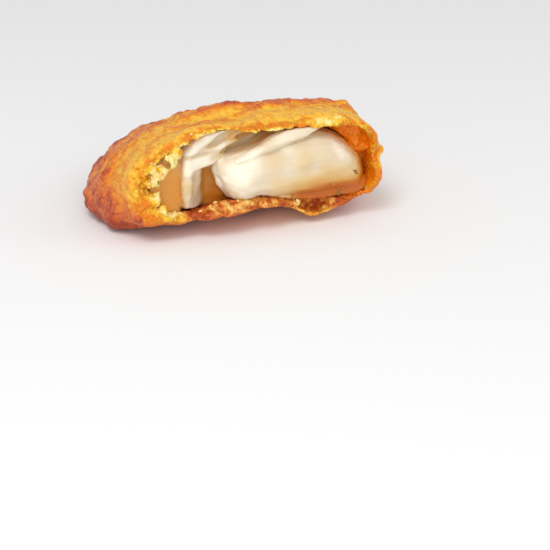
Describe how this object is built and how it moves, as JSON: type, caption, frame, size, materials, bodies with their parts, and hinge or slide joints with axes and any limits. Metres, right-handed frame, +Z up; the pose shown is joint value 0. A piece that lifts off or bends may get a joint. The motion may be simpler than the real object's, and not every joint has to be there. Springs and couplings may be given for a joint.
{
  "type": "half of a battered fried fish fillet",
  "caption": "Half of a battered fried fish fillet, broken across: a puffed golden crust, closed at the back and open at the front, with white flaky fish inside.",
  "frame": {"origin": "middle of the bounding box at its bottom, where the piece rests", "axes": "+X along the break, to the right when looking into it; the broken face looks along -Y and the closed end is at +Y; +Z up"},
  "size_m": [0.104, 0.0875, 0.0412],
  "materials": {
    "batter": "crisp fried batter, golden brown, slightly oily",
    "fish": "cooked white fish, moist and flaky"
  },
  "bodies": {
    "root": {"batter": "batter", "fish": "fish"}
  },
  "joints": []
}
